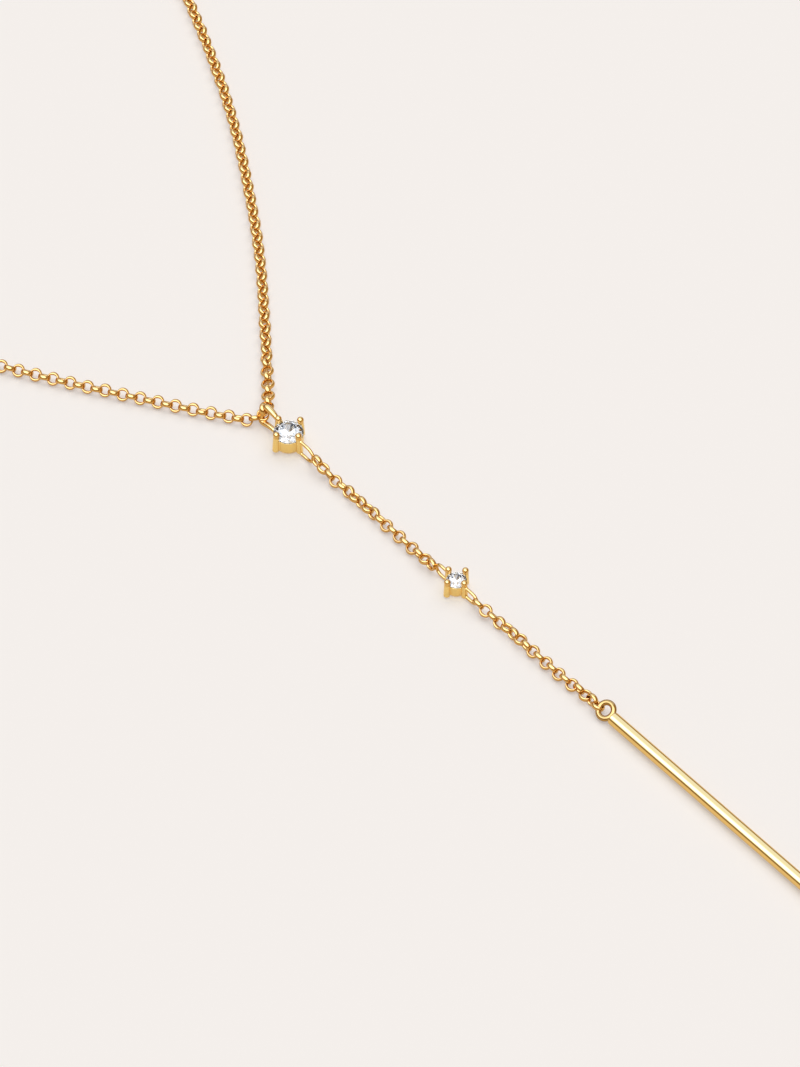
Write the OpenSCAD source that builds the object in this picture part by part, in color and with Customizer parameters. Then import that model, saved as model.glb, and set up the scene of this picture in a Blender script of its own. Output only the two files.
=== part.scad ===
// Y necklace laid out flat: two strands of fine round-link chain meet at a
// large four-prong stone setting; below it a short chain, a smaller setting,
// a second short chain and a long plain bar hang in one line.
// The strands close in one loop through a plain barrel clasp.
// +Y runs from the bar's free end to the clasp, +Z is up, z = 0 is the
// surface that the necklace lies on. Sizes in millimetres.

/* [Chain] */
// Thickness of the two strands, which is the height of their links as they lie
strand_d = 1.1; // [1.0:0.05:1.2]
// Thickness of the two short chains of the drop
drop_chain_d = 1.05; // [0.95:0.05:1.1]

/* [Large setting] */
// Diameter of the large stone
large_stone_d = 3.0; // [2.8:0.05:3.1]
// Height of the large stone's girdle above the surface
large_girdle_z = 1.79; // [1.75:0.01:1.9]
// Height of the centres of the large setting's prong tips
large_tip_z = 2.42; // [2.4:0.01:2.6]
// Diameter of the ball on each prong of the large setting
large_tip_d = 0.68; // [0.62:0.02:0.7]
// Diameter of the large setting's prongs at their foot
large_prong_d = 0.72; // [0.66:0.02:0.74]
// Reach of the upper loop from the middle of the large setting
large_loop_up = 4.45; // [4.3:0.05:4.5]
// Height of the upper loop of the large setting before it is rolled
large_loop_up_h = 2.5; // [2.3:0.05:2.5]
// Roll of the upper loop towards the right, in degrees
large_loop_roll = 16; // [10:1:18]
// Reach of the lower loop from the middle of the large setting
large_loop_down = 4.05; // [3.8:0.05:4.1]
// Height of the lower loop of the large setting
large_loop_down_h = 2.05; // [1.8:0.05:2.2]

/* [Small setting] */
// Diameter of the small stone
small_stone_d = 2.0; // [1.9:0.05:2.1]
// Height of the small stone's girdle above the surface
small_girdle_z = 1.42; // [1.4:0.01:1.5]
// Height of the centres of the small setting's prong tips
small_tip_z = 1.93; // [1.9:0.01:2.0]
// Diameter of the ball on each prong of the small setting
small_tip_d = 0.64; // [0.58:0.02:0.66]
// Diameter of the small setting's prongs at their foot
small_prong_d = 0.68; // [0.6:0.02:0.7]
// Reach of the upper loop from the middle of the small setting
small_loop_up = 3.1; // [2.9:0.05:3.15]
// Height of the upper loop of the small setting
small_loop_up_h = 1.75; // [1.6:0.05:1.8]
// Reach of the lower loop from the middle of the small setting
small_loop_down = 3.25; // [3.0:0.05:3.3]
// Height of the lower loop of the small setting
small_loop_down_h = 1.6; // [1.5:0.05:1.75]

/* [Loops] */
// Diameter of the wire of the upper loop of the large setting
strong_wire = 0.54; // [0.44:0.02:0.56]
// Diameter of the wire of the other three soldered loops
loop_wire = 0.38; // [0.34:0.02:0.42]

/* [Bar] */
// Length of the bar without its ring
bar_length = 32; // [28:1:40]
// Diameter of the bar
bar_d = 1.3; // [1.2:0.05:1.35]
// Outer diameter of the ring on the bar's upper end
bar_ring_d = 2.0; // [1.8:0.05:2.2]
// Diameter of the ring's wire
bar_ring_wire = 0.4; // [0.34:0.02:0.46]
// Roll of the ring about the bar's axis, in degrees from lying flat
bar_ring_roll = 30; // [20:1:32]

/* [Clasp] */
// Length of the clasp's barrel
clasp_length = 7; // [6.5:0.1:7.2]
// Diameter of the clasp's barrel
clasp_d = 2.8; // [2.4:0.1:3.2]

/* [Hidden] */

gold = [0.89, 0.70, 0.36];
clear_stone = [0.93, 0.95, 0.97];

// Middle of the large setting, with the whole necklace centred on the origin
origin_shift = [-0.2, -48.05, 0];
// Middle of the small setting, seen from the large one
small_at = [0, -24.9, 0];
// Upper end of the bar, and the middle of its ring
bar_top = [0.3, -46.6, bar_d / 2];
bar_ring_at = [0.3, -45.85, 0.62];
// Middle of the clasp's barrel
clasp_at = [0.2, 173.3, clasp_d / 2];

// Height of a strand's middle as it lies
sz = strand_d / 2;
dz = drop_chain_d / 2;

// Routes, as round numbers from the large setting's middle: x, y, z
left_route = [
    [-1.0, 4.4, sz + 0.15], [-4.6, 9.4, sz], [-8.5, 15.4, sz],
    [-12.3, 21.4, sz], [-15.8, 27.4, sz], [-21.2, 37.2, sz],
    [-26.8, 48.4, sz], [-32.2, 60.4, sz], [-37.4, 74, sz],
    [-42, 88.6, sz], [-45.6, 104, sz], [-47.4, 120, sz],
    [-46.2, 136, sz], [-41, 150.6, sz], [-31.6, 162.4, sz],
    [-19, 170.2, sz], [-4.9, 173.2, sz + 0.35]];
right_route = [
    [1.1, 4.5, sz + 0.15], [4.4, 8.6, sz], [9.7, 15.4, sz],
    [14.4, 21.8, sz], [18.7, 28.4, sz], [24.2, 37.6, sz],
    [29, 47.2, sz], [33.8, 58.4, sz], [38.8, 71.6, sz],
    [43.2, 86, sz], [46.4, 102, sz], [47.8, 118.6, sz],
    [46.6, 135, sz], [41.6, 150, sz], [32.2, 162.2, sz],
    [19.6, 170.2, sz], [5.3, 173.2, sz + 0.35]];
upper_drop_route = [
    [0, -4.3, dz + 0.45], [0, -6.4, dz + 0.05],
    [0, -18.8, dz], [0, -21.5, dz + 0.35]];
lower_drop_route = [
    [0.05, -28.45, dz + 0.35], [0.1, -30.6, dz],
    [0.2, -42.6, dz], [0.3, -44.7, dz + 0.05]];

// A smooth curve through four of a route's points
function curve(a, b, c, d, t) =
    0.5 * (2 * b + (c - a) * t + (2 * a - 5 * b + 4 * c - d) * t * t
           + (3 * b - a - 3 * c + d) * t * t * t);
// The point at place k of a route, with the ends run on in a straight line
function at_place(r, k) =
    k < 0 ? 2 * r[0] - r[1]
    : k > len(r) - 1 ? 2 * r[len(r) - 1] - r[len(r) - 2] : r[k];
// A route with n steps between each two of its points
function fine_route(r, n) = concat(
    [for (i = [0 : len(r) - 2]) for (j = [0 : n - 1])
        curve(at_place(r, i - 1), r[i], r[i + 1], at_place(r, i + 2), j / n)],
    [r[len(r) - 1]]);
// Direction of travel at point i
function heading(p, i) =
    let (a = p[max(i - 1, 0)], b = p[min(i + 1, len(p) - 1)], v = b - a)
    v / norm(v);

// A tube of thickness d through the points p. side gives for each point the
// unit vector across the tube, and n is the number of its flat sides.
module tube(p, side, d, n) {
    r = d / 2 / cos(180 / n);
    last = len(p) - 1;
    pts = [for (i = [0 : last])
        let (u = cross(side[i], heading(p, i)))
        for (k = [0 : n - 1]) let (a = (k + 0.5) * 360 / n)
            p[i] + r * cos(a) * side[i] + r * sin(a) * u];
    faces = concat(
        [[for (k = [n - 1 : -1 : 0]) k]],
        [for (i = [0 : last - 1]) for (k = [0 : n - 1])
            let (a = n * i + k, b = n * i + (k + 1) % n)
            [a, b, b + n, a + n]],
        [[for (k = [0 : n - 1]) n * last + k]]);
    polyhedron(pts, faces);
}

// An eight-sided tube of thickness d along a chain's route, flat side down,
// from the route's point first to its point last. Where the chain goes on in
// another stretch, the end stays 0.1 short of that point.
module chain_tube(route, d, steps, first, last) {
    whole = fine_route(route, steps);
    a = first * steps;
    b = last * steps;
    p = [for (i = [a : b])
        whole[i] + (i == a && first > 0 ? 0.1 : 0) * heading(whole, i)
                 - (i == b && last < len(route) - 1 ? 0.1 : 0) * heading(whole, i)];
    level = [for (i = [0 : len(p) - 1]) let (t = heading(p, i))
        [t.y, -t.x, 0] / norm([t.x, t.y])];
    tube(p, level, d, 8);
}

// An upright wire loop in the plane x = 0: two level arms joined by a half
// round end that reaches out to reach. The upper arm starts inside a prong
// at y_top, the lower one inside the cup's wall at y_low, just off the
// surface, and high is the loop's height.
module wire_loop(y_top, y_low, high, reach, w) {
    low = w / 2 + 0.02;
    bend = (high - w / 2 - low) / 2;
    c = [reach - w / 2 - bend, low + bend];
    steps = 10;
    p = concat([[0, y_top, low + 2 * bend]],
        [for (k = [0 : steps]) let (t = 90 - 180 * k / steps)
            [0, c.x + bend * cos(t), c.y + bend * sin(t)]],
        [[0, y_low, low]]);
    tube(p, [for (q = p) [1, 0, 0]], w, 12);
}

// Space of a stone with a little clearance, to cut its seat
module stone_space(d, gz, gap) {
    r = d / 2 + gap;
    translate([0, 0, gz]) rotate_extrude($fn = 64)
        polygon([[0, -0.44 * d - gap], [r, -0.015 * d - gap],
                 [r, 0.015 * d + gap], [0.29 * d + gap, 0.165 * d + gap],
                 [0, 0.165 * d + gap]]);
}

// Four-prong setting with its two loops, soldered in one piece.
// The prongs stand at the ends of the X and Y axes, foot_z off the surface,
// and lean in by lean. up and down hold each loop's reach, height, wire and
// roll.
module setting(d, gz, tip_z, tip_d, prong_d, foot_z, lean, up, down) {
    tip_r = d / 2 + 0.03 + (3 - d) * 0.12;
    foot_r = tip_r + lean;
    difference() {
        union() {
            // round cup under the stone, open below
            rotate_extrude($fn = 64)
                polygon([[0.28 * d, 0], [0.43 * d, 0], [0.48 * d, 0.06 * d],
                         [0.5 * d, gz - 0.09], [0.3 * d, gz - 0.09],
                         [0.28 * d, gz - 0.3]]);
            for (i = [0 : 3]) rotate([0, 0, 90 * i]) {
                translate([foot_r, 0, foot_z])
                    rotate([0, atan2(tip_r - foot_r, tip_z - foot_z), 0])
                        rotate([0, 0, 130])
                            cylinder(h = tip_z - foot_z, d1 = prong_d,
                                     d2 = 0.88 * prong_d, $fn = 32);
                translate([tip_r, 0, tip_z]) rotate([0, 0, 130])
                    sphere(d = tip_d, $fn = 32);
            }
            for (side = [0, 1]) let (e = side == 0 ? up : down)
                rotate([0, 0, 180 * side])
                    translate([0, 0, e[1] / 2]) rotate([0, e[3], 0])
                        translate([0, 0, -e[1] / 2])
                            wire_loop(tip_r, 0.4 * d, e[1], e[0], e[2]);
        }
        stone_space(d, gz, 0.02);
    }
}

// Round brilliant: flat table, eight kites, sixteen upper girdle facets,
// a thin girdle, sixteen lower girdle facets and eight pavilion mains
module brilliant(d, gz) {
    r = d / 2;
    band = 0.015 * d;
    crown = 0.145 * d;
    deep = 0.42 * d;
    table_r = 0.29 * d;
    star_r = 0.395 * d;
    low_r = 0.12 * d;
    star_z = crown * (r - star_r * cos(22.5)) / (r - table_r);
    low_z = -deep * (1 - low_r * cos(22.5) / r);
    pts = concat(
        [for (i = [0 : 7])
            [table_r * cos(45 * i), table_r * sin(45 * i), band + crown]],
        [for (i = [0 : 7]) let (a = 45 * i + 22.5)
            [star_r * cos(a), star_r * sin(a), band + star_z]],
        [for (j = [0 : 15]) [r * cos(22.5 * j), r * sin(22.5 * j), band]],
        [for (j = [0 : 15]) [r * cos(22.5 * j), r * sin(22.5 * j), -band]],
        [for (i = [0 : 7]) let (a = 45 * i + 22.5)
            [low_r * cos(a), low_r * sin(a), -band + low_z]],
        [[0, 0, -band - deep]]);
    faces = concat(
        [[for (i = [7 : -1 : 0]) i]],
        [for (i = [0 : 7]) [i, (i + 1) % 8, 8 + i]],
        [for (i = [0 : 7]) [i, 8 + i, 16 + 2 * i]],
        [for (i = [0 : 7]) [i, 16 + 2 * i, 8 + (i + 7) % 8]],
        [for (i = [0 : 7]) [8 + i, 16 + 2 * i + 1, 16 + 2 * i]],
        [for (i = [0 : 7]) [8 + i, 16 + (2 * i + 2) % 16, 16 + 2 * i + 1]],
        [for (j = [0 : 15]) let (k = (j + 1) % 16)
            [16 + j, 16 + k, 32 + k, 32 + j]],
        [for (i = [0 : 7]) [48 + i, 32 + 2 * i, 32 + 2 * i + 1]],
        [for (i = [0 : 7]) [48 + i, 32 + 2 * i + 1, 32 + (2 * i + 2) % 16]],
        [for (i = [0 : 7]) [48 + i, 56, 32 + 2 * i]],
        [for (i = [0 : 7]) [48 + (i + 7) % 8, 32 + 2 * i, 56]]);
    translate([0, 0, gz]) rotate([0, 0, 12])
        polyhedron(pts, faces);
}

module chain_left_front() color(gold)
    translate(origin_shift) chain_tube(left_route, strand_d, 2, 0, 6);

module chain_left_side() color(gold)
    translate(origin_shift) chain_tube(left_route, strand_d, 2, 6, 10);

module chain_left_back() color(gold)
    translate(origin_shift) chain_tube(left_route, strand_d, 2, 10, 16);

module chain_right_front() color(gold)
    translate(origin_shift) chain_tube(right_route, strand_d, 2, 0, 6);

module chain_right_side() color(gold)
    translate(origin_shift) chain_tube(right_route, strand_d, 2, 6, 10);

module chain_right_back() color(gold)
    translate(origin_shift) chain_tube(right_route, strand_d, 2, 10, 16);

module drop_chain_upper() color(gold)
    translate(origin_shift) chain_tube(upper_drop_route, drop_chain_d, 1, 0, 3);

module drop_chain_lower() color(gold)
    translate(origin_shift) chain_tube(lower_drop_route, drop_chain_d, 1, 0, 3);

module large_setting() color(gold)
    translate(origin_shift)
        setting(large_stone_d, large_girdle_z, large_tip_z, large_tip_d,
                large_prong_d, 0.25, 0.12,
                [large_loop_up, large_loop_up_h, strong_wire, large_loop_roll],
                [large_loop_down, large_loop_down_h, loop_wire, 0]);

module large_stone() color(clear_stone)
    translate(origin_shift) brilliant(large_stone_d, large_girdle_z);

module small_setting() color(gold)
    translate(origin_shift + small_at)
        setting(small_stone_d, small_girdle_z, small_tip_z, small_tip_d,
                small_prong_d, 0.12, 0.05,
                [small_loop_up, small_loop_up_h, loop_wire, 0],
                [small_loop_down, small_loop_down_h, loop_wire, 0]);

module small_stone() color(clear_stone)
    translate(origin_shift + small_at)
        brilliant(small_stone_d, small_girdle_z);

// Straight round bar with a soldered ring on its upper end
module bar_pendant() color(gold) translate(origin_shift) {
    r = bar_d / 2;
    translate(bar_top) rotate([90, 0, 0]) rotate_extrude($fn = 64)
        polygon([[0, 0], [r - 0.1, 0], [r, 0.08], [r, bar_length - 0.12],
                 [r - 0.14, bar_length], [0, bar_length]]);
    translate(bar_ring_at) rotate([0, -bar_ring_roll, 0])
        rotate_extrude($fn = 64)
            translate([(bar_ring_d - bar_ring_wire) / 2, 0])
                circle(d = bar_ring_wire, $fn = 32);
}

// Barrel clasp with a ring on each end, lying across the top of the loop
module clasp() color(gold) translate(origin_shift + clasp_at) {
    h = clasp_length / 2;
    r = clasp_d / 2;
    rotate([0, 90, 0]) rotate_extrude($fn = 64)
        polygon([[0, -h], [r - 0.7, -h], [r - 0.2, -h + 0.35], [r, -h + 0.9],
                 [r, -0.25], [r - 0.15, -0.12], [r - 0.15, 0.12], [r, 0.25],
                 [r, h - 0.9], [r - 0.2, h - 0.35], [r - 0.7, h], [0, h]]);
    for (side = [-1, 1]) translate([side * (h + 0.5), 0, 0])
        rotate([90, 0, 0]) rotate_extrude($fn = 48)
            translate([0.65, 0]) circle(d = 0.36, $fn = 32);
}

chain_left_front();
chain_left_side();
chain_left_back();
chain_right_front();
chain_right_side();
chain_right_back();
drop_chain_upper();
drop_chain_lower();
large_setting();
large_stone();
small_setting();
small_stone();
bar_pendant();
clasp();
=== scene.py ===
import math

import bpy
import numpy as np
from mathutils import Matrix, Vector


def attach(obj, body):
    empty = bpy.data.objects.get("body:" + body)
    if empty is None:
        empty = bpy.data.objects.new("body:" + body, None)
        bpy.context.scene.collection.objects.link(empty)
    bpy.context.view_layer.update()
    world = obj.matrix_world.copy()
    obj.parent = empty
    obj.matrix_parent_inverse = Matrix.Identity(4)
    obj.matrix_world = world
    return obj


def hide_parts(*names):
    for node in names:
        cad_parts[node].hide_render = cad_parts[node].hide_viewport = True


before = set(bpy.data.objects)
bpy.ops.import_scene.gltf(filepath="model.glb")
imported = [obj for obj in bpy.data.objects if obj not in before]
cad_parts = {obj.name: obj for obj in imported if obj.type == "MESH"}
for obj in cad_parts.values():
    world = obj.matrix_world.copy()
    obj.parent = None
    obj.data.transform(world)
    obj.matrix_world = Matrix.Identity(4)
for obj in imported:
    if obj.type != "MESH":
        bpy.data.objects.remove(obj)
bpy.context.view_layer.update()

# Lengths below are in millimetres from the large setting's middle on the
# surface, as in the CAD source; place() turns them into the row frame.
SHIFT = np.array([-0.2, -48.05, 0.0])
SMALL = np.array([0.0, -24.9, 0.0])
RNG = np.random.default_rng(11)

CAM_ELEVATION = math.radians(48.5)
CAM_RIGHT = np.array([0.757, -0.6534, 0.0])
CAM_AWAY = np.array([0.6534, 0.757, 0.0])
CAM_TARGET = np.array([0.423, -63.99, 0.0])
CAM_DISTANCE = 540.5
FOCAL_PIXELS = 5600.0
CAM_AT = (
    CAM_TARGET
    - CAM_AWAY * CAM_DISTANCE * math.cos(CAM_ELEVATION)
    + np.array([0, 0, CAM_DISTANCE * math.sin(CAM_ELEVATION)])
)


def place(p):
    return (np.asarray(p, float) + SHIFT) * 0.001


def unit(v):
    v = np.asarray(v, float)
    return v / np.linalg.norm(v, axis=-1, keepdims=True)


def at_pixel(px, py, z):
    """The point at height z seen at that pixel of the 800 x 1067 picture."""
    s, c = math.sin(CAM_ELEVATION), math.cos(CAM_ELEVATION)
    u, v = (px - 400.0) / FOCAL_PIXELS, -(py - 533.5) / FOCAL_PIXELS
    d = CAM_RIGHT * u + CAM_AWAY * (c + v * s) + np.array([0, 0, -s + v * c])
    t = (z - CAM_AT[2]) / d[2]
    return CAM_AT + t * d - SHIFT


# ---------------------------------------------------------------- materials


def node_material(name):
    m = bpy.data.materials.new(name)
    m.use_nodes = True
    nt = m.node_tree
    nt.nodes.clear()
    out = nt.nodes.new("ShaderNodeOutputMaterial")
    bsdf = nt.nodes.new("ShaderNodeBsdfPrincipled")
    nt.links.new(bsdf.outputs["BSDF"], out.inputs["Surface"])
    return m, nt, bsdf


def gold_material(name, color, roughness, grain=0.0, zone_with_painted_light=None):
    """Polished gold. The last argument gives the middle in metres, the radius and the top of an upright round
    zone, and the roughness and colour that it has:
    the satin roughness on the setting cups is their finish, while the zone's colour is painted light, brighter
    on the cups for the shaded floor they reflect and darker, painted shade, on the bar's ring."""
    m, nt, bsdf = node_material(name)
    bsdf.inputs["Base Color"].default_value = (*color, 1)
    bsdf.inputs["Metallic"].default_value = 1.0
    coord = nt.nodes.new("ShaderNodeTexCoord")
    noise = nt.nodes.new("ShaderNodeTexNoise")
    noise.inputs["Scale"].default_value = 2500.0
    noise.inputs["Detail"].default_value = 2.0
    nt.links.new(coord.outputs["Object"], noise.inputs["Vector"])
    spread = nt.nodes.new("ShaderNodeMapRange")
    spread.inputs["To Min"].default_value = roughness * 0.8
    spread.inputs["To Max"].default_value = roughness * 1.3
    nt.links.new(noise.outputs["Fac"], spread.inputs["Value"])
    rough = spread.outputs["Result"]
    if zone_with_painted_light:
        middle, radius, height, satin_roughness, zone_painted_light_color = zone_with_painted_light
        off = nt.nodes.new("ShaderNodeVectorMath")
        off.operation = "SUBTRACT"
        nt.links.new(coord.outputs["Object"], off.inputs[0])
        off.inputs[1].default_value = tuple(middle)
        flat = nt.nodes.new("ShaderNodeVectorMath")
        flat.operation = "MULTIPLY"
        nt.links.new(off.outputs[0], flat.inputs[0])
        flat.inputs[1].default_value = (1, 1, 0)
        dist = nt.nodes.new("ShaderNodeVectorMath")
        dist.operation = "LENGTH"
        nt.links.new(flat.outputs[0], dist.inputs[0])
        split = nt.nodes.new("ShaderNodeSeparateXYZ")
        nt.links.new(off.outputs[0], split.inputs[0])
        parts = []
        for value, limit in ((dist.outputs["Value"], radius), (split.outputs["Z"], height)):
            step = nt.nodes.new("ShaderNodeMapRange")
            step.interpolation_type = "SMOOTHSTEP"
            step.inputs["From Min"].default_value = limit + 0.00008
            step.inputs["From Max"].default_value = limit - 0.00008
            nt.links.new(value, step.inputs["Value"])
            parts.append(step.outputs["Result"])
        finish_and_painted_light_mask = nt.nodes.new("ShaderNodeMath")
        finish_and_painted_light_mask.operation = "MULTIPLY"
        nt.links.new(parts[0], finish_and_painted_light_mask.inputs[0])
        nt.links.new(parts[1], finish_and_painted_light_mask.inputs[1])
        mix = nt.nodes.new("ShaderNodeMix")
        nt.links.new(finish_and_painted_light_mask.outputs[0], mix.inputs[0])
        nt.links.new(rough, mix.inputs[2])
        mix.inputs[3].default_value = satin_roughness
        rough = mix.outputs[0]
        # painted light: inside the zone the gold takes the zone's own tone, brighter on the setting cups and
        # darker on the bar's ring
        painted_light_tone = nt.nodes.new("ShaderNodeMix")
        painted_light_tone.data_type = "RGBA"
        nt.links.new(finish_and_painted_light_mask.outputs[0], painted_light_tone.inputs[0])
        painted_light_tone.inputs[6].default_value = (*color, 1)
        painted_light_tone.inputs[7].default_value = (*zone_painted_light_color, 1)
        nt.links.new(painted_light_tone.outputs[2], bsdf.inputs["Base Color"])
    nt.links.new(rough, bsdf.inputs["Roughness"])
    if grain > 0:
        bump = nt.nodes.new("ShaderNodeBump")
        bump.inputs["Strength"].default_value = grain
        bump.inputs["Distance"].default_value = 0.00001
        nt.links.new(noise.outputs["Fac"], bump.inputs["Height"])
        nt.links.new(bump.outputs["Normal"], bsdf.inputs["Normal"])
    return m


def stone_material():
    m, nt, bsdf = node_material("clear_stone")
    bsdf.inputs["Base Color"].default_value = (0.96, 0.975, 0.985, 1)
    bsdf.inputs["Specular Tint"].default_value = (0.55, 0.45, 0.28, 1)
    bsdf.inputs["Roughness"].default_value = 0.0
    bsdf.inputs["IOR"].default_value = 2.3
    bsdf.inputs["Transmission Weight"].default_value = 1.0
    return m


def floor_material():
    m, nt, bsdf = node_material("pale_floor")
    bsdf.inputs["Base Color"].default_value = (*FLOOR_ALBEDO, 1)
    bsdf.inputs["Roughness"].default_value = 1.0
    bsdf.inputs["Specular IOR Level"].default_value = 0.0
    bsdf.inputs["Emission Color"].default_value = (*FLOOR_GLOW, 1)
    bsdf.inputs["Emission Strength"].default_value = 1.0
    return m


GOLD = (0.82, 0.535, 0.165)
# the loop and chain golds are darker copies of GOLD: painted shade for the darker reflections on the loops,
# balls and links
LOOP_GOLD_PAINTED_SHADE = (0.73, 0.43, 0.12)
CHAIN_GOLD_PAINTED_SHADE = (0.675, 0.376, 0.100)
# brighter copy of GOLD for the satin cups: painted light making up for the shaded floor they reflect
SATIN_GOLD_PAINTED_LIGHT = (0.89, 0.62, 0.208)
# much darker copy of GOLD for the bar's ring: painted shade for its darker reflections
RING_GOLD_PAINTED_SHADE = (0.47, 0.262, 0.068)
RING = np.array([0.30, -45.85, 0.80])
FLOOR_ALBEDO = (0.62, 0.60, 0.585)
FLOOR_GLOW = (0.362, 0.3452, 0.3324)
gold_chain = gold_material("gold_chain", CHAIN_GOLD_PAINTED_SHADE, 0.10)
# each setting's cup zone takes the brighter gold as painted light, and its loops and balls take the darker loop
# gold as painted shade
gold_large = gold_material(
    "gold_large_setting", LOOP_GOLD_PAINTED_SHADE, 0.09, 0.12, (place([0, 0, 0]), 0.00205, 0.00212, 0.30, SATIN_GOLD_PAINTED_LIGHT)
)
gold_small = gold_material(
    "gold_small_setting", LOOP_GOLD_PAINTED_SHADE, 0.09, 0.12, (place(SMALL), 0.00155, 0.00162, 0.30, SATIN_GOLD_PAINTED_LIGHT)
)
# the zone round the ring takes the darker ring gold, painted shade
gold_bar = gold_material(
    "gold_bar", GOLD, 0.07, 0.0, (place(RING), 0.00107, 0.01, 0.12, RING_GOLD_PAINTED_SHADE)
)
gold_clasp = gold_material("gold_clasp", GOLD, 0.09)
clear_stone = stone_material()


# ------------------------------------------------------------------- meshes


def add_mesh(name, verts, faces, material, nodes, normals=None, smooth=True):
    """One piece from corners in metres and an array of four- or three-sided faces."""
    faces = np.asarray(faces, np.int32)
    sides = faces.shape[1]
    me = bpy.data.meshes.new(name)
    me.vertices.add(len(verts))
    me.vertices.foreach_set("co", np.asarray(verts, np.float32).ravel())
    me.loops.add(faces.size)
    me.loops.foreach_set("vertex_index", faces.ravel())
    me.polygons.add(len(faces))
    me.polygons.foreach_set("loop_start", np.arange(0, faces.size, sides, dtype=np.int32))
    me.update(calc_edges=True)
    me.validate()
    me.polygons.foreach_set("use_smooth", np.full(len(me.polygons), smooth))
    if normals is not None and len(normals) == len(me.vertices):
        me.normals_split_custom_set_from_vertices([tuple(n) for n in normals])
    me.update()
    me.materials.append(material)
    ob = bpy.data.objects.new(name, me)
    bpy.context.scene.collection.objects.link(ob)
    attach(ob, "root")
    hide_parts(*nodes)
    return ob


# A link is (centre, direction along the chain, normal of its plane).


def link_mesh(links, half_long, half_wide, wire, around, sides):
    """Closed links as one mesh, none of them below the surface. half_long and
    half_wide are the half axes of the wire's middle line. wire gives the wire's
    half thickness in the link's plane at its ends and at its sides, and the
    half thickness across the plane."""
    a = np.linspace(0, 2 * math.pi, around, endpoint=False)
    b = np.linspace(0, 2 * math.pi, sides, endpoint=False)
    at_end, at_side, across = wire
    thick = at_end + (at_side - at_end) * np.sin(a) ** 2
    verts = []
    for c, t, n in links:
        n = unit(n)
        t = unit(np.asarray(t, float) - np.dot(t, n) * n)
        w = np.cross(n, t)
        mid = (
            c
            + half_long * np.cos(a)[:, None] * t
            + half_wide * np.sin(a)[:, None] * w
        )
        out = unit(
            half_wide * np.cos(a)[:, None] * t + half_long * np.sin(a)[:, None] * w
        )
        ring = (
            mid[:, None, :]
            + (thick[:, None] * np.cos(b)[None, :])[..., None] * out[:, None, :]
            + across * np.sin(b)[None, :, None] * n
        )
        ring[..., 2] += max(0.0, 0.004 - ring[..., 2].min())
        verts.append(ring.reshape(-1, 3))
    i, j = np.meshgrid(np.arange(around), np.arange(sides), indexing="ij")
    k, m = (i + 1) % around, (j + 1) % sides
    quad = np.stack(
        [i * sides + j, k * sides + j, k * sides + m, i * sides + m], -1
    ).reshape(-1, 4)
    faces = np.concatenate([quad + q * around * sides for q in range(len(links))])
    return np.concatenate(verts), faces


def fine_curve(points, n=40):
    p = np.asarray(points, float)
    q = np.vstack([2 * p[0] - p[1], p, 2 * p[-1] - p[-2]])
    t = (np.arange(n) / n)[:, None]
    out = []
    for i in range(1, len(q) - 2):
        a, b, c, d = q[i - 1 : i + 3]
        out.append(
            0.5
            * (
                2 * b
                + (c - a) * t
                + (2 * a - 5 * b + 4 * c - d) * t * t
                + (3 * b - a - 3 * c + d) * t**3
            )
        )
    out.append(p[-1:])
    return np.concatenate(out)


def along(curve, s):
    """Points at the lengths s along a curve."""
    step = np.linalg.norm(np.diff(curve, axis=0), axis=1)
    length = np.concatenate([[0], np.cumsum(step)])
    return np.stack([np.interp(s, length, curve[:, i]) for i in range(3)], -1)


def curve_length(curve):
    return np.linalg.norm(np.diff(curve, axis=0), axis=1).sum()


def length_near(curve, p):
    step = np.linalg.norm(np.diff(curve, axis=0), axis=1)
    length = np.concatenate([[0], np.cumsum(step)])
    return length[np.argmin(np.linalg.norm((curve - p)[:, :2], axis=1))]


def rolled(t, roll):
    """Normal of a link's plane. Roll 0 is a link lying flat and 90 one on edge; at 45 its upper edge is to the right of t."""
    t = unit(t)
    side = unit(np.array([t[1], -t[0], 0.0]))
    up = np.cross(side, t)
    r = math.radians(roll)
    return -math.sin(r) * side + math.cos(r) * up


# Strands. Points of the left and right route, as in the CAD source.
LINK_LONG = 0.553
LINK_WIDE = 0.53
LINK_WIRE = (0.090, 0.172, 0.250)
PITCH = 0.912
REST_Z = 0.53

LEFT = [
    (-4.6, 9.4), (-8.5, 15.4), (-12.3, 21.4), (-15.8, 27.4), (-21.2, 37.2),
    (-26.8, 48.4), (-32.2, 60.4), (-37.4, 74), (-42, 88.6), (-45.6, 104),
    (-47.4, 120), (-46.2, 136), (-41, 150.6), (-31.6, 162.4), (-19, 170.2),
]
RIGHT = [
    (4.4, 8.55), (9.7, 15.4), (14.4, 21.8), (18.7, 28.4), (24.2, 37.6),
    (29, 47.2), (33.8, 58.4), (38.8, 71.6), (43.2, 86), (46.4, 102),
    (47.8, 118.6), (46.6, 135), (41.6, 150), (32.2, 162.2), (19.6, 170.2),
]


def strand(route, start, start_z, end, first_links, roll_even, phase_fix):
    """Links of a strand from just after its first links to the clasp's ring."""
    pts = [(*start, start_z)]
    pts += [(x, y, REST_Z) for x, y in route]
    pts.append(end)
    curve = fine_curve(pts)
    total = curve_length(curve)
    n = int(round(total / PITCH))
    s = np.linspace(0, total, n + 1)
    at = along(curve, s)
    ahead = along(curve, np.clip(s + 0.4, 0, total))
    behind = along(curve, np.clip(s - 0.4, 0, total))
    heading = unit(ahead - behind)
    return at, heading


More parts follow.
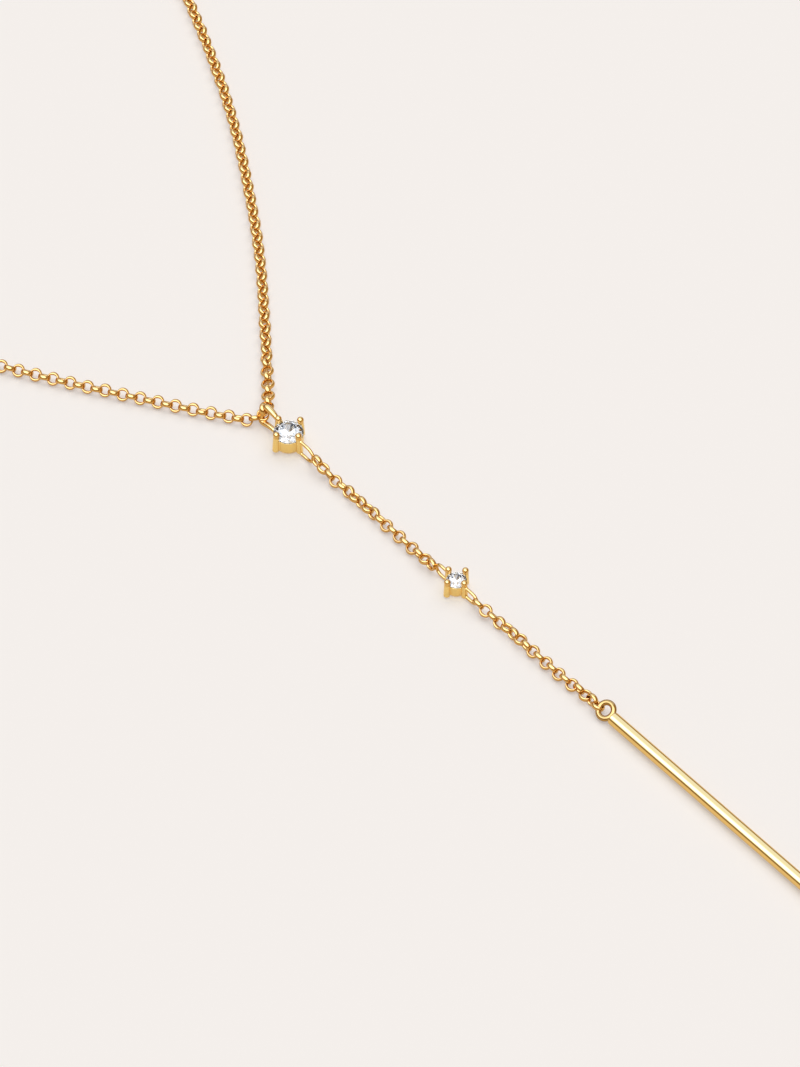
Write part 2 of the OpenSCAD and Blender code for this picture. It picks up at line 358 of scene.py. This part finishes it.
# Left strand: link 2 is the first that lies on the surface.
A0 = (np.array([0.09, 4.02, 0.85]), np.array([-0.86, 0.48, -0.15]), np.array([-0.30, -0.30, 0.90]))
A1 = (np.array([-0.66, 4.36, 0.68]), np.array([-0.86, 0.50, -0.1]), np.array([0.384, 0.648, 0.657]))
at, heading = strand(LEFT, (-1.39, 4.73), 0.60, (-4.50, 173.28, 1.10), 2, 45, 0)
left_links = [A0, A1]
n_left = len(at)
for i in range(n_left):
    k = i + 2
    base = 48.0 + 2.5 * math.sin(k * 0.37) + 2.0 * math.sin(k * 0.113 + 1)
    to_end = n_left - 1 - i
    # the last link threads the clasp's upright ring, so it lies flat
    if to_end < 7:
        flat_even = (n_left - 1 + 2) % 2 == 0
        goal = 0.0 if flat_even else 90.0
        base += (goal - base) * (1 - to_end / 7)
    roll = base + (90.0 if k % 2 else 0.0)
    roll += RNG.normal(0, 2.0)
    t = heading[i] + RNG.normal(0, 0.012, 3)
    left_links.append((at[i] + RNG.normal(0, 0.008, 3), t, rolled(heading[i], roll)))

# Right strand: link 3 is the first that lies on the surface.
B0 = (np.array([0.17, 3.97, 1.64]), np.array([0.796, 0.431, -0.425]), np.array([0.575, -0.757, 0.31]))
B1 = (np.array([0.93, 4.36, 1.28]), np.array([0.777, 0.544, -0.31]), np.array([0.254, 0.178, 0.951]))
at, heading = strand(RIGHT, (1.55, 4.95), 1.00, (4.90, 173.28, 1.10), 2, 90, 0)
zs = {0: 1.03, 1: 0.86, 2: 0.70, 3: 0.60}
right_links = [B0, B1]
n_right = len(at)
for i in range(n_right):
    k = i + 2
    base = 10.0 + 36.0 * min(1.0, max(0.0, (k - 5) / 6.0)) + 16.0 * min(1.0, k / 95)
    base += (1.5 * math.sin(k * 0.41 + 2) + 1.0 * math.sin(k * 0.127)) * min(1.0, k / 8)
    to_end = n_right - 1 - i
    if to_end < 7:
        last_k = n_right - 1 + 2
        goal = 90.0 if last_k % 2 == 0 else 0.0
        base += (goal - base) * (1 - to_end / 7)
    # even links stand up at the junction and lean left further on
    roll = base + (90.0 if k % 2 == 0 else 0.0)
    roll += RNG.normal(0, 2.0)
    p = at[i].copy()
    if i in zs:
        p[2] = zs[i]
    t = heading[i] + RNG.normal(0, 0.012, 3)
    right_links.append((p + RNG.normal(0, 0.008, 3), t, rolled(heading[i], roll)))


def strand_piece(name, links, side):
    near, far = links[:75], links[75:]
    va, fa = link_mesh(near, LINK_LONG, LINK_WIDE, LINK_WIRE, 36, 14)
    vb, fb = link_mesh(far, LINK_LONG, LINK_WIDE, LINK_WIRE, 28, 10)
    verts = np.concatenate([va, vb])
    faces = np.concatenate([fa, fb + len(va)])
    nodes = [f"chain_{side}_{part}" for part in ("front", "side", "back")]
    return add_mesh(name, place(verts), faces, gold_chain, nodes)


strand_piece("left_strand_links", left_links, "left")
strand_piece("right_strand_links", right_links, "right")

# Short chains of the drop: middle of each link in the picture, and its height.
UPPER_PX = [
    (316.8, 460.6), (323.3, 468.7), (329.1, 474.4), (335.6, 482.1), (342.9, 486.3),
    (349.3, 493.1), (355.2, 498.3), (361.5, 504.2), (368.3, 508.8), (374.1, 514.5),
    (380.2, 519.1), (386.7, 526.4), (392.5, 530.6), (399.4, 536.6), (404.6, 542.6),
    (412.2, 548.0), (418.3, 553.7), (426.0, 559.5), (431.4, 564.8),
]
LOWER_PX = [
    (477.1, 604.3), (485.9, 611.6), (492.8, 615.8), (499.7, 624.2), (508.5, 626.5),
    (514.2, 635.3), (521.3, 638.2), (526.1, 648.0), (533.8, 651.8), (538.7, 657.5),
    (546.4, 663.7), (551.4, 669.0), (558.2, 675.1), (564.7, 679.8), (571.5, 685.3),
    (578.8, 688.3), (586.0, 695.6), (592.9, 700.2), (598.3, 706.7),
]


def drop_links(pixels, heights, rolls):
    at = np.array([at_pixel(x, y, z) for (x, y), z in zip(pixels, heights)])
    k = np.arange(len(at))
    for axis, share in ((0, 0.6), (1, 0.75)):
        even = np.polyval(np.polyfit(k, at[:, axis], 2), k)
        at[:, axis] = share * even + (1 - share) * at[:, axis]
    links = []
    for i in range(len(at)):
        a, b = at[max(i - 1, 0)], at[min(i + 1, len(at) - 1)]
        t = unit(b - a)
        links.append((at[i], t, rolled(t, -rolls[i])))
    return links


def roll_list(n, stops):
    """Base roll of each link, by the stops {number: roll}, with every odd link 90 degrees on."""
    xs, ys = zip(*sorted(stops.items()))
    base = np.interp(np.arange(1, n + 1), xs, ys)
    return [base[i] + (90.0 if (i + 1) % 2 else 0.0) for i in range(n)]


upper_z = [1.18, 0.88, 0.68, 0.57, 0.52] + [0.506] * 10 + [0.52, 0.58, 0.70, 0.88]
lower_z = [0.92, 0.72, 0.58, 0.52] + [0.506] * 12 + [0.52, 0.56, 0.62]
# 30 and 210 are the plane that faces the camera
upper_rolls = roll_list(19, {1: -5, 2: -14, 3: 20, 4: 30, 6: 55, 8: 75, 10: 60, 12: 30, 16: 30, 18: 0, 19: -10})
lower_rolls = roll_list(19, {1: 30, 2: 30, 3: 35, 4: 58, 6: 75, 8: 102, 9: 120, 15: 120, 17: 90, 19: 60})
for name, px, z, rolls, node in (
    ("upper_drop_links", UPPER_PX, upper_z, upper_rolls, "drop_chain_upper"),
    ("lower_drop_links", LOWER_PX, lower_z, lower_rolls, "drop_chain_lower"),
):
    v, f = link_mesh(drop_links(px, z, rolls), 0.588, 0.497, (0.092, 0.170, 0.240), 40, 16)
    add_mesh(name, place(v), f, gold_chain, [node])


# ------------------------------------------- soldered pieces as smooth shapes


def smooth_min(a, b, k):
    h = np.maximum(k - np.abs(a - b), 0) / k
    return np.minimum(a, b) - h * h * k / 4


def smooth_max(a, b, k):
    return -smooth_min(-a, -b, k)


def d_polygon(x, y, pts):
    pts = np.asarray(pts, float)
    d = np.full(x.shape, 1e9)
    inside = np.zeros(x.shape, bool)
    n = len(pts)
    for i in range(n):
        ax, ay = pts[i]
        bx, by = pts[(i + 1) % n]
        ex, ey = bx - ax, by - ay
        wx, wy = x - ax, y - ay
        h = np.clip((wx * ex + wy * ey) / (ex * ex + ey * ey), 0, 1)
        d = np.minimum(d, (wx - ex * h) ** 2 + (wy - ey * h) ** 2)
        cross = (ay > y) != (by > y)
        with np.errstate(divide="ignore", invalid="ignore"):
            at_x = ax + (y - ay) / (by - ay) * ex if by != ay else np.inf
        inside ^= cross & (x < at_x)
    d = np.sqrt(d)
    return np.where(inside, -d, d)


def d_sphere(p, c, r):
    return np.linalg.norm(p - np.asarray(c, float), axis=-1) - r


def d_cone(p, a, b, ra, rb):
    """A cone with round ends."""
    a, b = np.asarray(a, float), np.asarray(b, float)
    ba = b - a
    l2 = ba @ ba
    rr = ra - rb
    a2 = l2 - rr * rr
    pa = p - a
    y = pa @ ba
    z = y - l2
    q = pa * l2 - ba * y[..., None]
    x2 = (q * q).sum(-1)
    y2, z2 = y * y * l2, z * z * l2
    k = np.sign(rr) * rr * rr * x2
    d = (np.sqrt(x2 * a2 / l2) + y * rr) / l2 - ra
    d = np.where(np.sign(y) * a2 * y2 < k, np.sqrt(x2 + y2) / l2 - ra, d)
    return np.where(np.sign(z) * a2 * z2 > k, np.sqrt(x2 + z2) / l2 - rb, d)


def d_path(p, line, radii):
    """A wire along a fine line of points, with its radius at each."""
    near = ((p > line.min(0) - 0.9) & (p < line.max(0) + 0.9)).all(-1)
    q = p[near]
    d = np.full(len(q), 9.0)
    for a, b, ra, rb in zip(line[:-1], line[1:], radii[:-1], radii[1:]):
        ab = b - a
        h = np.clip(((q - a) @ ab) / (ab @ ab), 0, 1)
        d = np.minimum(d, np.linalg.norm(q - a - h[:, None] * ab, axis=-1) - ra - (rb - ra) * h)
    out = np.full(len(p), 9.0)
    out[near] = d
    return out


def loop_line(points, side, roll=0.0, middle=0.0):
    """Fine line of a soldered loop from (reach, height, wire radius) points.
    roll leans its plane to +X about the height middle, in degrees."""
    pts = fine_curve(points, 20)
    r = math.radians(roll)
    up = pts[:, 1] - middle
    line = np.stack([up * math.sin(r), side * pts[:, 0], middle + up * math.cos(r)], -1)
    return line, pts[:, 2]


def d_prong(p, foot, top, r_foot, r_top, foot_z):
    """A round prong with a flat, softly edged foot."""
    foot, top = np.asarray(foot, float), np.asarray(top, float)
    lower = foot - (top - foot) * (0.5 / np.linalg.norm(top - foot))
    return smooth_max(d_cone(p, lower, top, r_foot, r_top), foot_z - p[..., 2], 0.14)


def surface(field, xs, ys, zs, turns=4):
    """Corners, four-sided faces and normals of the shape where field is below zero."""
    X, Y, Z = np.meshgrid(xs, ys, zs, indexing="ij")
    P = np.stack([X, Y, Z], -1)
    F = field(P.reshape(-1, 3)).reshape(X.shape)
    inside = F < 0
    nx, ny, nz = F.shape
    total = np.zeros((nx - 1, ny - 1, nz - 1), np.int32)
    point = np.zeros((nx - 1, ny - 1, nz - 1, 3))
    for axis in range(3):
        lo = [slice(None)] * 3
        hi = [slice(None)] * 3
        lo[axis], hi[axis] = slice(0, -1), slice(1, None)
        fa, fb = F[tuple(lo)], F[tuple(hi)]
        crosses = inside[tuple(lo)] != inside[tuple(hi)]
        t = np.where(crosses, fa / np.where(crosses, fa - fb, 1), 0)
        q = P[tuple(lo)] * (1 - t)[..., None] + P[tuple(hi)] * t[..., None]
        q = np.where(crosses[..., None], q, 0)
        others = [i for i in range(3) if i != axis]
        for da in (0, 1):
            for db in (0, 1):
                cut = [slice(None)] * 3
                for o, d in zip(others, (da, db)):
                    cut[o] = slice(d, F.shape[o] - 1 + d)
                total += crosses[tuple(cut)]
                point += q[tuple(cut)]
    used = total > 0
    index = np.full(used.shape, -1, np.int64)
    index[used] = np.arange(used.sum())
    verts = point[used] / total[used][:, None]
    faces = []
    for axis in range(3):
        lo = [slice(None)] * 3
        hi = [slice(None)] * 3
        lo[axis], hi[axis] = slice(0, -1), slice(1, None)
        a_in, b_in = inside[tuple(lo)], inside[tuple(hi)]
        i = np.argwhere(a_in != b_in)
        o1, o2 = [(axis + 1) % 3, (axis + 2) % 3]
        ok = (i[:, o1] > 0) & (i[:, o2] > 0)
        ok &= (i[:, o1] < F.shape[o1] - 1) & (i[:, o2] < F.shape[o2] - 1)
        i = i[ok]
        e1, e2 = np.eye(3, dtype=int)[o1], np.eye(3, dtype=int)[o2]
        corner = [i - e1 - e2, i - e2, i, i - e1]
        quad = np.stack([index[c[:, 0], c[:, 1], c[:, 2]] for c in corner], -1)
        out = a_in[i[:, 0], i[:, 1], i[:, 2]]
        quad[~out] = quad[~out][:, ::-1]
        faces.append(quad)
    faces = np.concatenate(faces)
    e = 1e-3

    def gradient(p):
        g = np.stack(
            [field(p + e * v) - field(p - e * v) for v in np.eye(3)], -1
        ) / (2 * e)
        return g

    limit = 0.45 * min(np.diff(xs).min(), np.diff(zs).min())
    start = verts.copy()
    for _ in range(turns):
        g = gradient(verts)
        step = field(verts)[:, None] * g / np.maximum((g * g).sum(-1), 0.05)[:, None]
        verts = verts - step
        moved = verts - start
        far = np.linalg.norm(moved, axis=-1)
        verts = start + moved * np.minimum(1, limit / np.maximum(far, 1e-9))[:, None]
    return verts, faces, unit(gradient(verts))


def d_stone_space(p, d, gz, gap):
    r = d / 2 + gap
    pts = [
        (0, -0.44 * d - gap), (r, -0.015 * d - gap), (r, 0.015 * d + gap),
        (0.29 * d + gap, 0.165 * d + gap), (0, 0.165 * d + gap),
    ]
    rad = np.hypot(p[..., 0], p[..., 1])
    pts = [(-x, z) for x, z in pts[::-1]] + pts
    keep = []
    for q in pts:
        if not keep or abs(q[0] - keep[-1][0]) > 1e-9 or abs(q[1] - keep[-1][1]) > 1e-9:
            keep.append(q)
    if abs(keep[0][0] - keep[-1][0]) < 1e-9 and abs(keep[0][1] - keep[-1][1]) < 1e-9:
        keep.pop()
    return d_polygon(rad, p[..., 2] - gz, keep)


def setting_field(d, gz, tip_z, prong_r, top_r, ball_r, foot_z, lean, low_wall, loops):
    tip_r = d / 2 + 0.03 + (3 - d) * 0.12
    cup = [
        (0.28 * d, 0), (low_wall * d - 0.02, 0), (0.49 * d, 0.12 * d), (0.5 * d, gz - 0.09),
        (0.3 * d, gz - 0.09), (0.28 * d, gz - 0.3),
    ]
    soft = 0.03
    mid = np.mean(cup, 0)
    shrunk = [tuple(mid + (np.array(c) - mid) * (1 - soft / 0.35)) for c in cup]
    shrunk = [(x, soft if z < 0.01 else min(z, gz - 0.09 - soft)) for x, z in shrunk]
    ends = [(1, 0), (0, 1), (-1, 0), (0, -1)]

    def field(p):
        rad = np.hypot(p[..., 0], p[..., 1])
        body = d_polygon(rad, p[..., 2], shrunk) - soft
        for c, s in ends:
            foot = (c * (tip_r + lean), s * (tip_r + lean), foot_z)
            top = (c * tip_r, s * tip_r, tip_z - 0.10)
            body = smooth_min(body, d_prong(p, foot, top, prong_r, top_r, foot_z), 0.10)
        for line, radii in loops:
            body = smooth_min(body, d_path(p, line, radii), 0.10)
        for c, s in ends:
            body = smooth_min(body, d_sphere(p, (c * tip_r, s * tip_r, tip_z), ball_r), 0.025)
        body = smooth_max(body, -d_stone_space(p, d, gz, 0.015), 0.02)
        return np.maximum(body, 0.0 - p[..., 2])

    return field


def grid(lo, hi, step):
    n = int(math.ceil((hi - lo) / step))
    return lo + np.arange(n + 1) * step


large_loops = [
    loop_line(
        [
            (1.35, 1.93, 0.23), (2.08, 2.02, 0.26), (2.45, 2.12, 0.30), (3.05, 2.22, 0.35),
            (3.48, 2.24, 0.37), (3.76, 2.09, 0.37), (3.95, 1.80, 0.36), (4.04, 1.29, 0.35),
            (3.99, 0.76, 0.34), (3.80, 0.42, 0.32), (3.45, 0.37, 0.30), (2.89, 0.48, 0.29),
            (2.23, 0.54, 0.26), (1.20, 0.50, 0.24),
        ],
        1, 16.0, 1.25,
    ),
    loop_line(
        [
            (1.40, 1.86, 0.17), (2.40, 1.86, 0.17), (3.00, 1.84, 0.17), (3.42, 1.66, 0.17),
            (3.74, 1.34, 0.17), (3.84, 0.98, 0.17), (3.72, 0.62, 0.17), (3.40, 0.34, 0.17),
            (2.95, 0.22, 0.17), (2.40, 0.22, 0.17), (1.10, 0.22, 0.17),
        ],
        -1,
    ),
]
small_loops = [
    loop_line(
        [
            (1.10, 1.52, 0.17), (1.80, 1.54, 0.17), (2.30, 1.52, 0.17), (2.66, 1.32, 0.17),
            (2.86, 0.94, 0.17), (2.72, 0.52, 0.17), (2.36, 0.27, 0.17), (1.90, 0.23, 0.17),
            (0.75, 0.23, 0.17),
        ],
        1,
    ),
    loop_line(
        [
            (1.10, 1.42, 0.17), (1.90, 1.42, 0.17), (2.45, 1.38, 0.17), (2.80, 1.20, 0.17),
            (3.02, 0.86, 0.17), (2.88, 0.48, 0.17), (2.50, 0.26, 0.17), (2.00, 0.23, 0.17),
            (0.75, 0.23, 0.17),
        ],
        -1,
    ),
]
large_field = setting_field(3.0, 1.79, 2.42, 0.36, 0.31, 0.34, 0.28, 0.12, 0.435, large_loops)
small_field = setting_field(2.0, 1.42, 1.93, 0.335, 0.30, 0.325, 0.06, 0.05, 0.455, small_loops)
v, f, n = surface(
    large_field, grid(-2.1, 2.1, 0.05), grid(-4.4, 4.7, 0.05), grid(-0.1, 2.9, 0.05)
)
add_mesh("large_setting_metal", place(v), f, gold_large, ["large_setting"], n)
v, f, n = surface(
    small_field, grid(-1.6, 1.6, 0.04), grid(-3.4, 3.3, 0.04), grid(-0.08, 2.36, 0.04)
)
add_mesh("small_setting_metal", place(v + SMALL), f, gold_small, ["small_setting"], n)

# Bar with its ring
BAR_X, BAR_TOP, BAR_LONG, BAR_R = 0.235, -46.84, 31.76, 0.655
RING_R, RING_WIRE, RING_ROLL = 0.785, 0.285, math.radians(-33)


def bar_field(p):
    x, y, z = p[..., 0] - BAR_X, p[..., 1], p[..., 2] - BAR_R
    edge = 0.13
    half = BAR_LONG / 2
    qx = np.hypot(x, z) - BAR_R + edge
    qy = np.abs(y - (BAR_TOP - half)) - half + edge
    bar = np.minimum(np.maximum(qx, qy), 0) + np.hypot(np.maximum(qx, 0), np.maximum(qy, 0)) - edge
    q = p - RING
    c, s = math.cos(RING_ROLL), math.sin(RING_ROLL)
    across = c * q[..., 0] - s * q[..., 2]
    up = s * q[..., 0] + c * q[..., 2]
    ring = np.hypot(np.hypot(across, q[..., 1]) - RING_R, up) - RING_WIRE
    return smooth_min(bar, ring, 0.12)


bar_y = np.concatenate(
    [
        grid(BAR_TOP - BAR_LONG - 0.15, BAR_TOP - BAR_LONG + 0.6, 0.05)[:-1],
        np.linspace(BAR_TOP - BAR_LONG + 0.6, BAR_TOP - 0.8, 90)[:-1],
        grid(BAR_TOP - 0.8, RING[1] + 1.25, 0.05),
    ]
)
v, f, n = surface(bar_field, grid(BAR_X - 1.25, BAR_X + 1.3, 0.05), bar_y, grid(-0.08, 1.75, 0.05))
add_mesh("bar_with_ring", place(v), f, gold_bar, ["bar_pendant"], n)

# Clasp
CLASP = np.array([0.2, 173.3, 1.4])


def clasp_field(p):
    q = p - CLASP
    h, r = 3.5, 1.4
    rad = np.hypot(q[..., 1], q[..., 2])
    prof = [
        (-h, 0), (-h, r - 0.7), (-h + 0.35, r - 0.2), (-h + 0.9, r - 0.04), (0, r - 0.04),
        (h - 0.9, r - 0.04), (h - 0.35, r - 0.2), (h, r - 0.7), (h, 0),
    ]
    prof = prof + [(x, -y) for x, y in prof[::-1][1:-1]]
    body = d_polygon(q[..., 0], rad, prof) - 0.04
    groove = np.hypot(q[..., 0], rad - r - 0.03) - 0.16
    body = smooth_max(body, -groove, 0.05)
    collar = np.hypot(np.abs(q[..., 0]) - 2.35, rad - r + 0.06) - 0.09
    body = smooth_min(body, collar, 0.05)
    for side in (-1, 1):
        w = q - np.array([side * (h + 0.5), 0, 0])
        ring = np.hypot(np.hypot(w[..., 0], w[..., 2]) - 0.65, w[..., 1]) - 0.18
        body = smooth_min(body, ring, 0.16)
    return body


v, f, n = surface(
    clasp_field,
    grid(CLASP[0] - 5.1, CLASP[0] + 5.1, 0.06),
    grid(CLASP[1] - 1.6, CLASP[1] + 1.6, 0.06),
    grid(-0.12, 2.95, 0.06),
)
add_mesh("clasp_barrel", place(v), f, gold_clasp, ["clasp"], n)

# Stones: round brilliants with flat facets


def brilliant(d, gz, turn):
    r = d / 2
    band, crown, deep = 0.013 * d, 0.147 * d, 0.42 * d
    table, star, low = 0.29 * d, 0.395 * d, 0.12 * d
    star_z = crown * (r - star * math.cos(math.radians(22.5))) / (r - table)
    low_z = -deep * (1 - low * math.cos(math.radians(22.5)) / r)

    def ring(rad, z, n, off):
        a = np.radians(np.arange(n) * 360 / n + off)
        return np.stack([rad * np.cos(a), rad * np.sin(a), np.full(n, z)], -1)

    v = np.concatenate(
        [
            ring(table, band + crown, 8, 0), ring(star, band + star_z, 8, 22.5),
            ring(r, band, 16, 0), ring(r, -band, 16, 0),
            ring(low, -band + low_z, 8, 22.5), [[0, 0, -band - deep]],
        ]
    )
    faces = [list(range(8))]
    for i in range(8):
        n = (i + 1) % 8
        faces += [[i, 8 + i, n], [i, 8 + (i + 7) % 8, 16 + 2 * i, 8 + i]]
        faces += [[8 + i, 16 + 2 * i, 17 + 2 * i], [8 + i, 17 + 2 * i, 16 + (2 * i + 2) % 16]]
        faces += [[48 + i, 33 + 2 * i, 32 + 2 * i], [48 + i, 32 + (2 * i + 2) % 16, 33 + 2 * i]]
        faces += [[56, 48 + i, 32 + 2 * i, 48 + (i + 7) % 8]]
    for j in range(16):
        k = (j + 1) % 16
        faces += [[16 + j, 32 + j, 32 + k, 16 + k]]
    a = math.radians(turn)
    turned = v.copy()
    turned[:, 0] = v[:, 0] * math.cos(a) - v[:, 1] * math.sin(a)
    turned[:, 1] = v[:, 0] * math.sin(a) + v[:, 1] * math.cos(a)
    turned[:, 2] += gz
    return turned, faces


def add_stone(name, d, gz, turn, at, node):
    v, faces = brilliant(d, gz, turn)
    me = bpy.data.meshes.new(name)
    me.from_pydata([tuple(p) for p in place(v + at)], [], faces)
    me.update()
    me.validate()
    # facets face outwards
    middle = place(np.array([0, 0, gz]) + at)
    flip = [
        p.index
        for p in me.polygons
        if Vector(p.center - Vector(middle)).dot(p.normal) < 0
    ]
    if flip:
        faces = [fc[::-1] if i in set(flip) else fc for i, fc in enumerate(faces)]
        me.clear_geometry()
        me.from_pydata([tuple(p) for p in place(v + at)], [], faces)
        me.update()
    me.polygons.foreach_set("use_smooth", np.zeros(len(me.polygons), bool))
    me.materials.append(clear_stone)
    ob = bpy.data.objects.new(name, me)
    bpy.context.scene.collection.objects.link(ob)
    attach(ob, "root")
    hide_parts(node)
    return ob


add_stone("large_brilliant", 3.0, 1.79, 12.0, np.zeros(3), "large_stone")
add_stone("small_brilliant", 2.0, 1.42, 12.0, SMALL, "small_stone")

# -------------------------------------------------------------------- stage

size = 3.0
me = bpy.data.meshes.new("floor")
me.from_pydata(
    [(-size, -size, 0), (size, -size, 0), (size, size, 0), (-size, size, 0)], [], [(0, 1, 2, 3)]
)
floor = bpy.data.objects.new("floor", me)
bpy.context.scene.collection.objects.link(floor)
me.materials.append(floor_material())

# World: a dim band at the horizon, a broad pale ceiling and a bright softbox
world = bpy.data.worlds.new("studio")
bpy.context.scene.world = world
world.use_nodes = True
wt = world.node_tree
wt.nodes.clear()


def wnode(kind, **values):
    nd = wt.nodes.new(kind)
    for k, val in values.items():
        if k.startswith("in"):
            nd.inputs[int(k[2:])].default_value = val
        else:
            setattr(nd, k, val)
    return nd


def wmath(op, a, b=None):
    nd = wt.nodes.new("ShaderNodeMath")
    nd.operation = op
    for i, s in enumerate((a, b)):
        if s is None:
            continue
        if isinstance(s, (int, float)):
            nd.inputs[i].default_value = s
        else:
            wt.links.new(s, nd.inputs[i])
    return nd.outputs[0]


def wstep(value, a, b):
    """Rises smoothly from 0 at a to 1 at b."""
    nd = wt.nodes.new("ShaderNodeMapRange")
    nd.interpolation_type = "SMOOTHSTEP"
    wt.links.new(value, nd.inputs["Value"])
    nd.inputs["From Min"].default_value = a
    nd.inputs["From Max"].default_value = b
    nd.inputs["To Min"].default_value = 0.0
    nd.inputs["To Max"].default_value = 1.0
    return nd.outputs["Result"]


def wdot(vec, direction):
    nd = wt.nodes.new("ShaderNodeVectorMath")
    nd.operation = "DOT_PRODUCT"
    wt.links.new(vec, nd.inputs[0])
    nd.inputs[1].default_value = tuple(direction)
    return nd.outputs["Value"]


coord = wt.nodes.new("ShaderNodeTexCoord")
direction = coord.outputs["Generated"]
dx, dy, dz = (wdot(direction, e) for e in ((1, 0, 0), (0, 1, 0), (0, 0, 1)))

DIM = (0.35, 0.26, 0.16)
SIDE = (0.62, 0.56, 0.48)
CEILING = (1.12, 1.46, 2.60)
HOT = (3.2, 3.9, 6.4)
# dim band up to about 23 degrees, then the ceiling, which is pale only on the
# far side
ceiling_part = wstep(dz, 0.35, 0.43)
far_part = wstep(dy, -0.05, 0.25)


def disc(direction_to, inner, outer):
    """1 within inner degrees of that direction and 0 beyond outer."""
    return wstep(
        wdot(direction, unit(direction_to)), math.cos(math.radians(outer)), math.cos(math.radians(inner))
    )


# softbox above the camera, reaching over the necklace on the left
soft_part = wmath("MAXIMUM", disc([-0.40, -0.36, 0.845], 33, 41), disc([-0.48, 0.15, 0.86], 22, 31))


def wmix(fac, a, b):
    nd = wt.nodes.new("ShaderNodeMix")
    nd.data_type = "RGBA"
    wt.links.new(fac, nd.inputs[0])
    for i, s in ((6, a), (7, b)):
        if isinstance(s, tuple):
            nd.inputs[i].default_value = (*s, 1)
        else:
            wt.links.new(s, nd.inputs[i])
    return nd.outputs[2]


sky = wmix(far_part, SIDE, CEILING)
sky = wmix(ceiling_part, DIM, sky)
# the softbox ends well above the horizon
soft_part = wmath("MULTIPLY", soft_part, wstep(dz, 0.46, 0.54))
sky = wmix(soft_part, sky, HOT)
# the same studio in grey, for the light that goes through the stones
clear = wmix(far_part, (0.58, 0.59, 0.60), (0.665, 0.67, 0.675))
clear = wmix(ceiling_part, (0.53, 0.54, 0.55), clear)
clear = wmix(soft_part, clear, (0.98, 0.985, 0.99))
# polished surfaces see the studio, and the surface is lit by a faint even glow
path = wt.nodes.new("ShaderNodeLightPath")
sky = wmix(path.outputs["Is Transmission Ray"], sky, clear)
sky = wmix(path.outputs["Is Glossy Ray"], (0.312, 0.2988, 0.288), sky)
sky = wmix(path.outputs["Is Camera Ray"], sky, (0.905, 0.863, 0.831))
back = wt.nodes.new("ShaderNodeBackground")
wt.links.new(sky, back.inputs["Color"])
wout = wt.nodes.new("ShaderNodeOutputWorld")
wt.links.new(back.outputs[0], wout.inputs["Surface"])

# Soft light from the right that shapes the shadows on the surface
lamp = bpy.data.lights.new("right_light", "SUN")
lamp.energy = 1.9116
lamp.color = (1.0, 1.0, 1.0)
lamp.angle = math.radians(70)
lamp_ob = bpy.data.objects.new("right_light", lamp)
bpy.context.scene.collection.objects.link(lamp_ob)
lamp_ob.rotation_euler = Vector(unit([0.327, 0.144, 0.925])).to_track_quat("Z", "Y").to_euler()
lamp_ob.visible_glossy = False

# Camera
cam_data = bpy.data.cameras.new("camera")
cam = bpy.data.objects.new("camera", cam_data)
bpy.context.scene.collection.objects.link(cam)
cam_data.sensor_fit = "AUTO"
cam_data.sensor_width = 36.0
cam_data.lens = FOCAL_PIXELS / 1067.0 * 36.0
cam_data.clip_start = 0.01
cam_data.clip_end = 50.0
cam_data.dof.use_dof = False
back_dir = Vector(unit(CAM_AT - CAM_TARGET))
cam.location = Vector(CAM_AT * 0.001)
right = Vector(unit(CAM_RIGHT))
up = back_dir.cross(right)
cam.matrix_world = Matrix(
    (
        (right.x, up.x, back_dir.x, cam.location.x),
        (right.y, up.y, back_dir.y, cam.location.y),
        (right.z, up.z, back_dir.z, cam.location.z),
        (0, 0, 0, 1),
    )
)
bpy.context.scene.camera = cam

view = bpy.context.scene.view_settings
view.view_transform = "Standard"
view.look = "None"
view.exposure = 0.0
view.gamma = 1.0
